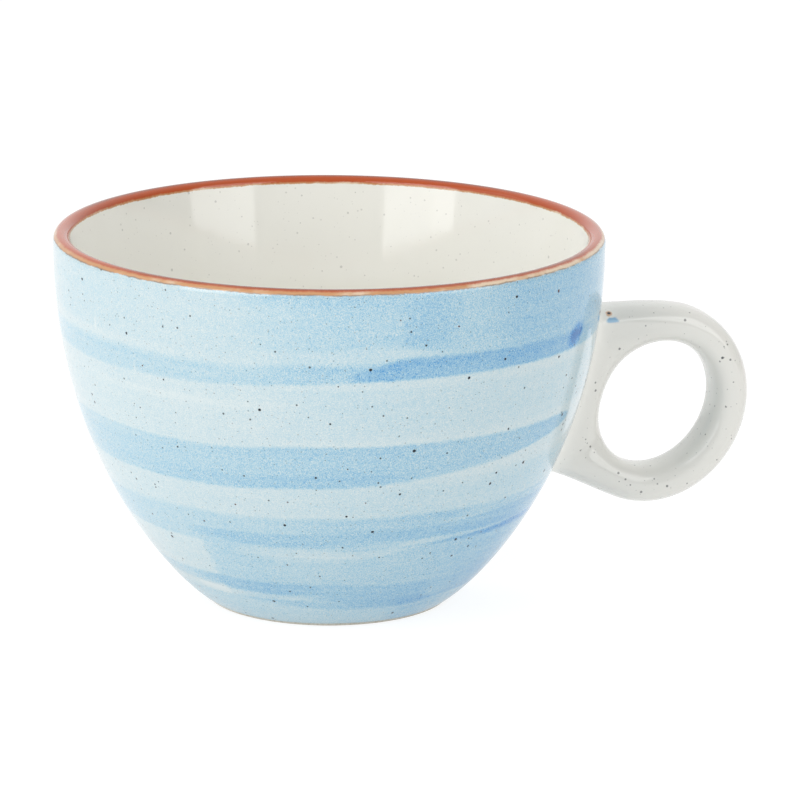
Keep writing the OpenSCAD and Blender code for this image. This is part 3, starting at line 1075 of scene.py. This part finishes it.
# %% [markdown]
# Off-white speckled glaze: a tin-white glaze on the same clay, glossy and a little warm.
# The white is opaque and lies thick inside the cup, where it hides nearly all specks.
# Low down inside the cup it is painted warmer and darker, as painted shade. On the handle
# more specks show, and from a little way out from the wall it is painted greyer, as
# painted shade. A touch of blue over cream and a few large grains sit by the handle's
# root and on the ring.

# %% Off-white speckled glaze
WALL_SLANT = 0.3
# radii in mm, taken down the slant of the wall to the table
INSIDE_TO = (33.5, 32)
HANDLE_FROM = (35, 40.5)
# heights in mm
LOW_SHADE_FROM = (54, 42)
# how strongly specks show
DEPTH_INSIDE = 0.27
DEPTH_ON_HANDLE = 0.7
# spacing and size in mm, share of places with a grain, depth
WHITE_SPECKS = ((2.5, 0.31, 0.6, 1.0), (1.7, 0.23, 0.7, 0.8), (0.9, 0.14, 0.5, 0.5))
WHITE_CLOUDS = (0.07, 3, 1, 0.5)
MARK_OUTLINE = (1.2, 1, 0.7, 0.5)
MARK_EDGE = (1.15, 0.6)
HANDLE_MARKS = [
    # middle and half sizes in mm, colour, depth
    ((54.4, -6.2, 52.9), (1.3, 8, 0.55), "pooled blue", 0.9),
    ((53.9, -6.2, 53.95), (0.7, 8, 0.45), "tan break", 0.8),
    ((53.9, -6.2, 54.0), (0.4, 8, 0.2), "iron speck", 0.95),
    ((76.5, -5.2, 44.5), (0.34, 3, 0.3), "iron speck", 0.9),
    ((56.2, -6.2, 22.3), (0.28, 3, 0.25), "iron speck", 0.65),
    ((57.6, -6.2, 21.0), (0.26, 3, 0.22), "iron speck", 0.65),
]
white_glaze, tree = new_material("off-white speckled glaze")
place = add(tree, "Group", node_tree=place_group).outputs
clouds = add(tree, "Group", [place["point"], *WHITE_CLOUDS], node_tree=noise_group)
clouds = add(tree, "Math", [clouds, 0.5], operation="ADD")
colour = add(
    tree, "Mix", {0: clouds, 6: PAINTS["off-white"], 7: PAINTS["warm shade"]}, data_type="RGBA"
).outputs[2]
past_wall = add(
    tree, "Math", [place["height"], -WALL_SLANT, place["radius"]], operation="MULTIPLY_ADD"
)
on_handle = add(tree, "MapRange", [past_wall, *HANDLE_FROM], interpolation_type="SMOOTHSTEP")
inside = add(tree, "MapRange", [past_wall, *INSIDE_TO], interpolation_type="SMOOTHSTEP")
# painted shade: the glaze is made warmer and darker low inside the cup
deep = add(tree, "MapRange", [place["height"], *LOW_SHADE_FROM], interpolation_type="SMOOTHSTEP")
deep = add(tree, "Math", [inside, deep], operation="MULTIPLY")
colour = add(
    tree, "Mix", {0: deep, 6: colour, 7: PAINTS["off-white in painted low shade"]}, data_type="RGBA"
).outputs[2]
# painted shade: the handle's white is made greyer, from a little way out from the wall
colour = add(
    tree, "Mix", {0: on_handle, 6: colour, 7: PAINTS["painted handle shade"]}, data_type="RGBA"
).outputs[2]
gain = DEPTH_ON_HANDLE - DEPTH_INSIDE
depth_here = add(tree, "Math", [on_handle, gain, DEPTH_INSIDE], operation="MULTIPLY_ADD")
for *layer, depth in WHITE_SPECKS:
    specks = specks_of(tree, place["point"], *layer)
    shown = add(tree, "Math", [specks["speck"], depth_here], operation="MULTIPLY")
    shown = add(tree, "Math", [shown, depth], operation="MULTIPLY")
    colour = add(
        tree, "Mix", {0: shown, 6: colour, 7: PAINTS["iron speck"]}, data_type="RGBA"
    ).outputs[2]
for middle, half_sizes, name, depth in HANDLE_MARKS:
    offset = add(tree, "VectorMath", [place["point"], middle], operation="SUBTRACT")
    scaled = add(tree, "VectorMath", [offset, half_sizes], operation="DIVIDE")
    reach = add(tree, "VectorMath", [scaled], operation="LENGTH").outputs["Value"]
    outline = add(tree, "Group", [place["point"], *MARK_OUTLINE], node_tree=noise_group)
    reach = add(tree, "Math", [reach, outline], operation="ADD")
    mark = add(tree, "MapRange", [reach, *MARK_EDGE], interpolation_type="SMOOTHSTEP")
    mark = add(tree, "Math", [mark, depth], operation="MULTIPLY")
    colour = add(tree, "Mix", {0: mark, 6: colour, 7: PAINTS[name]}, data_type="RGBA").outputs[2]
glaze_shader(tree, with_rim(tree, colour), place["point"])
print(f"Off-white glaze: {len(tree.nodes)} nodes")

# %% [markdown]
# Terracotta rim glaze: an iron-red glaze over the lip. The rim's colours come from the
# shared mask, over the blue on the outside of the lip and the off-white on its inside.

# %% Terracotta rim glaze
LIP_FADE = 0.6
rim_glaze, tree = new_material("terracotta rim glaze")
place = add(tree, "Group", node_tree=place_group).outputs
outside = add(
    tree, "MapRange", [place["radius"], lip_middle, lip_middle + LIP_FADE],
    interpolation_type="SMOOTHSTEP",
)
colour = add(
    tree, "Mix", {0: outside, 6: PAINTS["off-white"], 7: PAINTS["light band"]}, data_type="RGBA"
).outputs[2]
glaze_shader(tree, with_rim(tree, colour), place["point"])
print(f"Rim glaze: {len(tree.nodes)} nodes")

# %% [markdown]
# Bare stoneware clay: fired without glaze, matt and a little sandy to the touch. Its grain
# is well under a millimetre.

# %% Bare stoneware clay
SAND = (2.2, 4, 1, 0.7)
SAND_EDGE = (-0.1, 0.2)
CLAY_SPECKS = (2.6, 0.3, 0.5)
CLAY_SPECK_DEPTH = 0.6
SAND_HEIGHT = 0.05 * MM
SAND_STRENGTH = 0.6
CLAY_ROUGHNESS = 0.85
bare_clay, tree = new_material("bare stoneware clay")
place = add(tree, "Group", node_tree=place_group).outputs
sand = add(tree, "Group", [place["point"], *SAND], node_tree=noise_group)
dark = add(tree, "MapRange", [sand, *SAND_EDGE], interpolation_type="SMOOTHSTEP")
colour = add(
    tree, "Mix", {0: dark, 6: PAINTS["clay"], 7: PAINTS["dark clay"]}, data_type="RGBA"
).outputs[2]
specks = specks_of(tree, place["point"], *CLAY_SPECKS)
shown = add(tree, "Math", [specks["speck"], CLAY_SPECK_DEPTH], operation="MULTIPLY")
colour = add(
    tree, "Mix", {0: shown, 6: colour, 7: PAINTS["iron speck"]}, data_type="RGBA"
).outputs[2]
bump = {"Strength": SAND_STRENGTH, "Distance": SAND_HEIGHT, "Height": sand}
bump = add(tree, "Bump", bump)
shader = {"Base Color": colour, "Roughness": CLAY_ROUGHNESS, "Normal": bump}
shader = add(tree, "BsdfPrincipled", shader)
add(tree, "OutputMaterial", {"Surface": shader})
print(f"Clay: {len(tree.nodes)} nodes")

# %% [markdown]
# Putting the finishes on. Each new piece stands for the solid under it, rides on the cup's
# one body and takes its material. The clay of the handle stays as it is, inside its coat.

# %% Dress the cup
FINISHES = [
    (clay_bowl, bare_clay, "bare_stoneware", ["bowl"]),
    (blue_coat, blue_glaze, "blue_banded_glaze", ["outer_glaze"]),
    (inner_coat, white_glaze, "off_white_glaze", ["inner_glaze"]),
    (rim_coat, rim_glaze, "terracotta_glaze", ["rim_band"]),
    (base_coat, white_glaze, "off_white_glaze", ["base_glaze"]),
    (handle_coat, white_glaze, "off_white_glaze", ["handle_glaze", "handle_slip"]),
]
for piece, finish, slot, nodes in FINISHES:
    piece.data.materials.append(finish)
    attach(piece, "root")
    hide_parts(*nodes)
handle_clay = frame["nodes"]["handle"]
handle_clay.data.materials.clear()
handle_clay.data.materials.append(bare_clay)
print("Dressed:", [piece.name for piece, *_ in FINISHES])

# %% [markdown]
# The camera stands just under a metre away with a long lens, a little above the rim, and
# looks at the cup with its handle to the right. It is rolled by half a degree, as a camera
# held by hand is.

# %% Camera
CAMERA_AZIMUTH = math.radians(-12)
CAMERA_ELEVATION = math.radians(14.349)
CAMERA_ROLL = math.radians(0.444)
CAMERA_DISTANCE = 0.91304
CAMERA_TARGET = Vector((0.013354, -0.002838, 0.038190))
CAMERA_LENS_MM = 214.245
CAMERA_SENSOR_MM = 36
CAMERA_CLIP = 0.05


def towards(azimuth, elevation):
    """Direction from the cup, with the azimuth turned from the front to the right."""
    level = math.cos(elevation)
    return Vector((math.sin(azimuth) * level, -math.cos(azimuth) * level, math.sin(elevation)))


camera_data = bpy.data.cameras.new("camera")
camera_data.lens = CAMERA_LENS_MM
camera_data.sensor_width = CAMERA_SENSOR_MM
camera_data.clip_start = CAMERA_CLIP
camera = bpy.data.objects.new("camera", camera_data)
bpy.context.scene.collection.objects.link(camera)
level_right = Vector((math.cos(CAMERA_AZIMUTH), math.sin(CAMERA_AZIMUTH), 0))
back = towards(CAMERA_AZIMUTH, CAMERA_ELEVATION)
level_up = back.cross(level_right)
right = math.cos(CAMERA_ROLL) * level_right + math.sin(CAMERA_ROLL) * level_up
up = math.cos(CAMERA_ROLL) * level_up - math.sin(CAMERA_ROLL) * level_right
turned_to = Matrix((right, up, back)).transposed().to_4x4()
camera.matrix_world = Matrix.Translation(CAMERA_TARGET + CAMERA_DISTANCE * back) @ turned_to
bpy.context.scene.camera = camera
print("Camera at", [round(value, 4) for value in camera.matrix_world.translation])

# %% [markdown]
# The stage is a plain white floor under soft studio light. The floor is lit nearly to
# white: the camera sees it glow, the glaze mirrors the same glow but less of it from the
# shaded floor close to the foot, and it throws a little light up on the cup.

# %% Floor
FLOOR_HALF = 1.6
FLOOR_GLOW = 0.82
FLOOR_LIGHT = 0.49
CONTACT_SHADE = (24, 60)
SHADED_SHARE = 0.72
FLOOR_LIT = "#C8C8C8"
FLOOR_SHADED = "#8E8E8E"
bm = bmesh.new()
bmesh.ops.create_grid(bm, x_segments=1, y_segments=1, size=FLOOR_HALF)
floor = finish_piece(bm, "floor")
floor_paint, tree = new_material("white floor")
rays = add(tree, "LightPath").outputs
seen = add(tree, "Math", [rays["Is Camera Ray"], rays["Is Glossy Ray"]], operation="MAXIMUM")
seen = add(tree, "Math", [seen, rays["Is Transmission Ray"]], operation="MAXIMUM")
bounce = add(tree, "BsdfDiffuse", {"Color": linear(FLOOR_LIT)})
table_light = add(tree, "Emission", {"Strength": FLOOR_LIGHT})
bounce = add(tree, "AddShader", {0: bounce, 1: table_light})
from_axis = add(tree, "Group", node_tree=place_group).outputs["radius"]
open_floor = add(tree, "MapRange", [from_axis, *CONTACT_SHADE], interpolation_type="SMOOTHSTEP")
mirrored = add(
    tree, "Math", [open_floor, 1 - SHADED_SHARE, SHADED_SHARE], operation="MULTIPLY_ADD"
)
strength = add(tree, "Math", [mirrored, rays["Is Camera Ray"]], operation="MAXIMUM")
strength = add(tree, "Math", [strength, FLOOR_GLOW], operation="MULTIPLY")
glow = add(tree, "Emission", {"Strength": strength})
shade = add(tree, "BsdfDiffuse", {"Color": linear(FLOOR_SHADED)})
shown = add(tree, "AddShader", {0: glow, 1: shade})
surface = add(tree, "MixShader", {0: seen, 1: bounce, 2: shown})
add(tree, "OutputMaterial", {"Surface": surface})
floor.data.materials.append(floor_paint)
floor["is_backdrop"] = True
print(f"Floor: {2 * FLOOR_HALF} m square, glow {FLOOR_GLOW}")

# %% [markdown]
# The world is a backdrop that is lit until it burns out white, with a pale ceiling over it
# and a dim studio on the camera's side. The camera itself sees plain white.

# %% World
BACKDROP_LEVEL = 1.0
CEILING_LEVEL = 0.66
world = bpy.data.worlds.new("white backdrop")
bpy.context.scene.world = world
world.use_nodes = True
tree = world.node_tree
tree.nodes.clear()
away = -towards(CAMERA_AZIMUTH, 0)
direction = add(tree, "TexCoord").outputs["Generated"]
behind = add(tree, "VectorMath", {0: direction, 1: away}, operation="DOT_PRODUCT")
behind = add(tree, "Math", [behind.outputs["Value"], 0], operation="MAXIMUM")
overhead = add(tree, "SeparateXYZ", {0: direction}).outputs["Z"]
overhead = add(tree, "Math", [overhead, 0], operation="MAXIMUM")
room = add(tree, "Math", [behind, BACKDROP_LEVEL], operation="MULTIPLY")
room = add(tree, "Math", [overhead, CEILING_LEVEL, room], operation="MULTIPLY_ADD")
rays = add(tree, "LightPath").outputs
unseen = add(tree, "Math", [1, rays["Is Camera Ray"]], operation="SUBTRACT")
strength = add(tree, "Math", [unseen, room], operation="MULTIPLY")
strength = add(tree, "Math", [strength, rays["Is Camera Ray"]], operation="ADD")
backdrop = add(tree, "Background", {"Color": (1, 1, 1, 1), "Strength": strength})
add(tree, "OutputWorld", {"Surface": backdrop})
print(f"World: {len(tree.nodes)} nodes")

# %% [markdown]
# Two large soft boxes stand to the left and right of the camera and show as bright windows
# in the glossy glaze. A wide panel at the left fills the shadow side.

# %% Soft boxes
SOFT_BOXES = [
    # name, azimuth and elevation of its middle in degrees, distance, width, height, watts
    ("left soft box", -55, 28, 1.1, 0.72, 0.96, 6.1),
    ("right soft box", 40, 28, 1.1, 0.66, 0.96, 4.8),
    ("left panel", -88, 26, 1.3, 1.4, 1.2, 4.4),
]
for name, azimuth, elevation, distance, width, height, watts in SOFT_BOXES:
    lamp = bpy.data.lights.new(name, "AREA")
    lamp.shape = "RECTANGLE"
    lamp.size = width
    lamp.size_y = height
    lamp.energy = watts
    box = bpy.data.objects.new(name, lamp)
    bpy.context.scene.collection.objects.link(box)
    aim = towards(math.radians(azimuth), math.radians(elevation))
    facing = aim.to_track_quat("Z", "Y").to_matrix().to_4x4()
    box.matrix_world = Matrix.Translation(CAMERA_TARGET + distance * aim) @ facing
bpy.context.scene.view_settings.view_transform = "Standard"
print(f"{len(SOFT_BOXES)} soft boxes")

# %% Finish
boxes = {"cad": cad_box, "visual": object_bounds()}
for name, corners in boxes.items():
    print(name, [[round(value, 5) for value in corner] for corner in corners])
